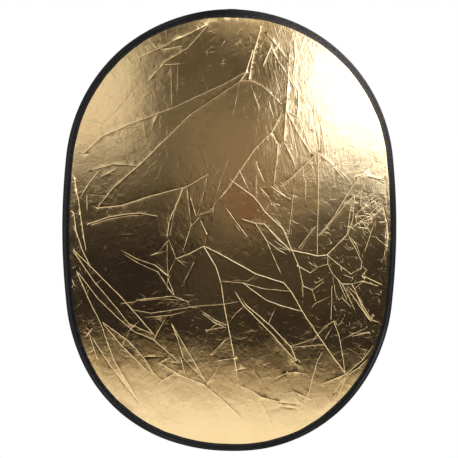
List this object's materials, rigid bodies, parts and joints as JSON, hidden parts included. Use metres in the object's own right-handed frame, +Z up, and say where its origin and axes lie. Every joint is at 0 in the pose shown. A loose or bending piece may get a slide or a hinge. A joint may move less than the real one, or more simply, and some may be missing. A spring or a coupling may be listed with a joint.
{
  "type": "collapsible oval light reflector",
  "caption": "Collapsible oval light reflector: crinkled gold film front and silver film back, sewn into a black tape binding over a sprung flat steel hoop that folds at the waist.",
  "frame": {"origin": "middle of the oval, half way between its faces and its ends", "axes": "+Z up along the long axis of the oval, +X to the right as the gold side is seen, gold side faces -Y and silver side faces +Y"},
  "size_m": [0.9084, 0.0098, 1.2005],
  "materials": {
    "spring_steel": "blued spring steel band, satin",
    "ferrule_steel": "crimped plated sleeve",
    "gold_film": "pale gold metallised film on cloth, crinkled, near mirror",
    "silver_film": "silver metallised film on cloth, crinkled, satin",
    "binding_tape": "black woven polyester tape, matt",
    "sewing_thread": "black polyester thread, slight sheen"
  },
  "bodies": {
    "lower_half": {"spring_hoop": "spring_steel", "gold_panel_lower": "gold_film", "silver_panel_lower": "silver_film", "edge_binding_lower": "binding_tape", "needle_thread_lower": "sewing_thread", "bobbin_thread_lower": "sewing_thread"},
    "upper_half": {"hoop_ferrule": "ferrule_steel", "gold_panel_upper": "gold_film", "silver_panel_upper": "silver_film", "edge_binding_upper": "binding_tape", "needle_thread_upper": "sewing_thread", "bobbin_thread_upper": "sewing_thread"}
  },
  "joints": [
    {"name": "waist_fold", "type": "hinge", "parent": "lower_half", "child": "upper_half", "pos_m": [0, -0.005, 0], "axis": [1, 0, 0], "range_deg": [0, 90], "stiffness_Nm_per_rad": 6, "deforming": ["spring_hoop"]}
  ]
}
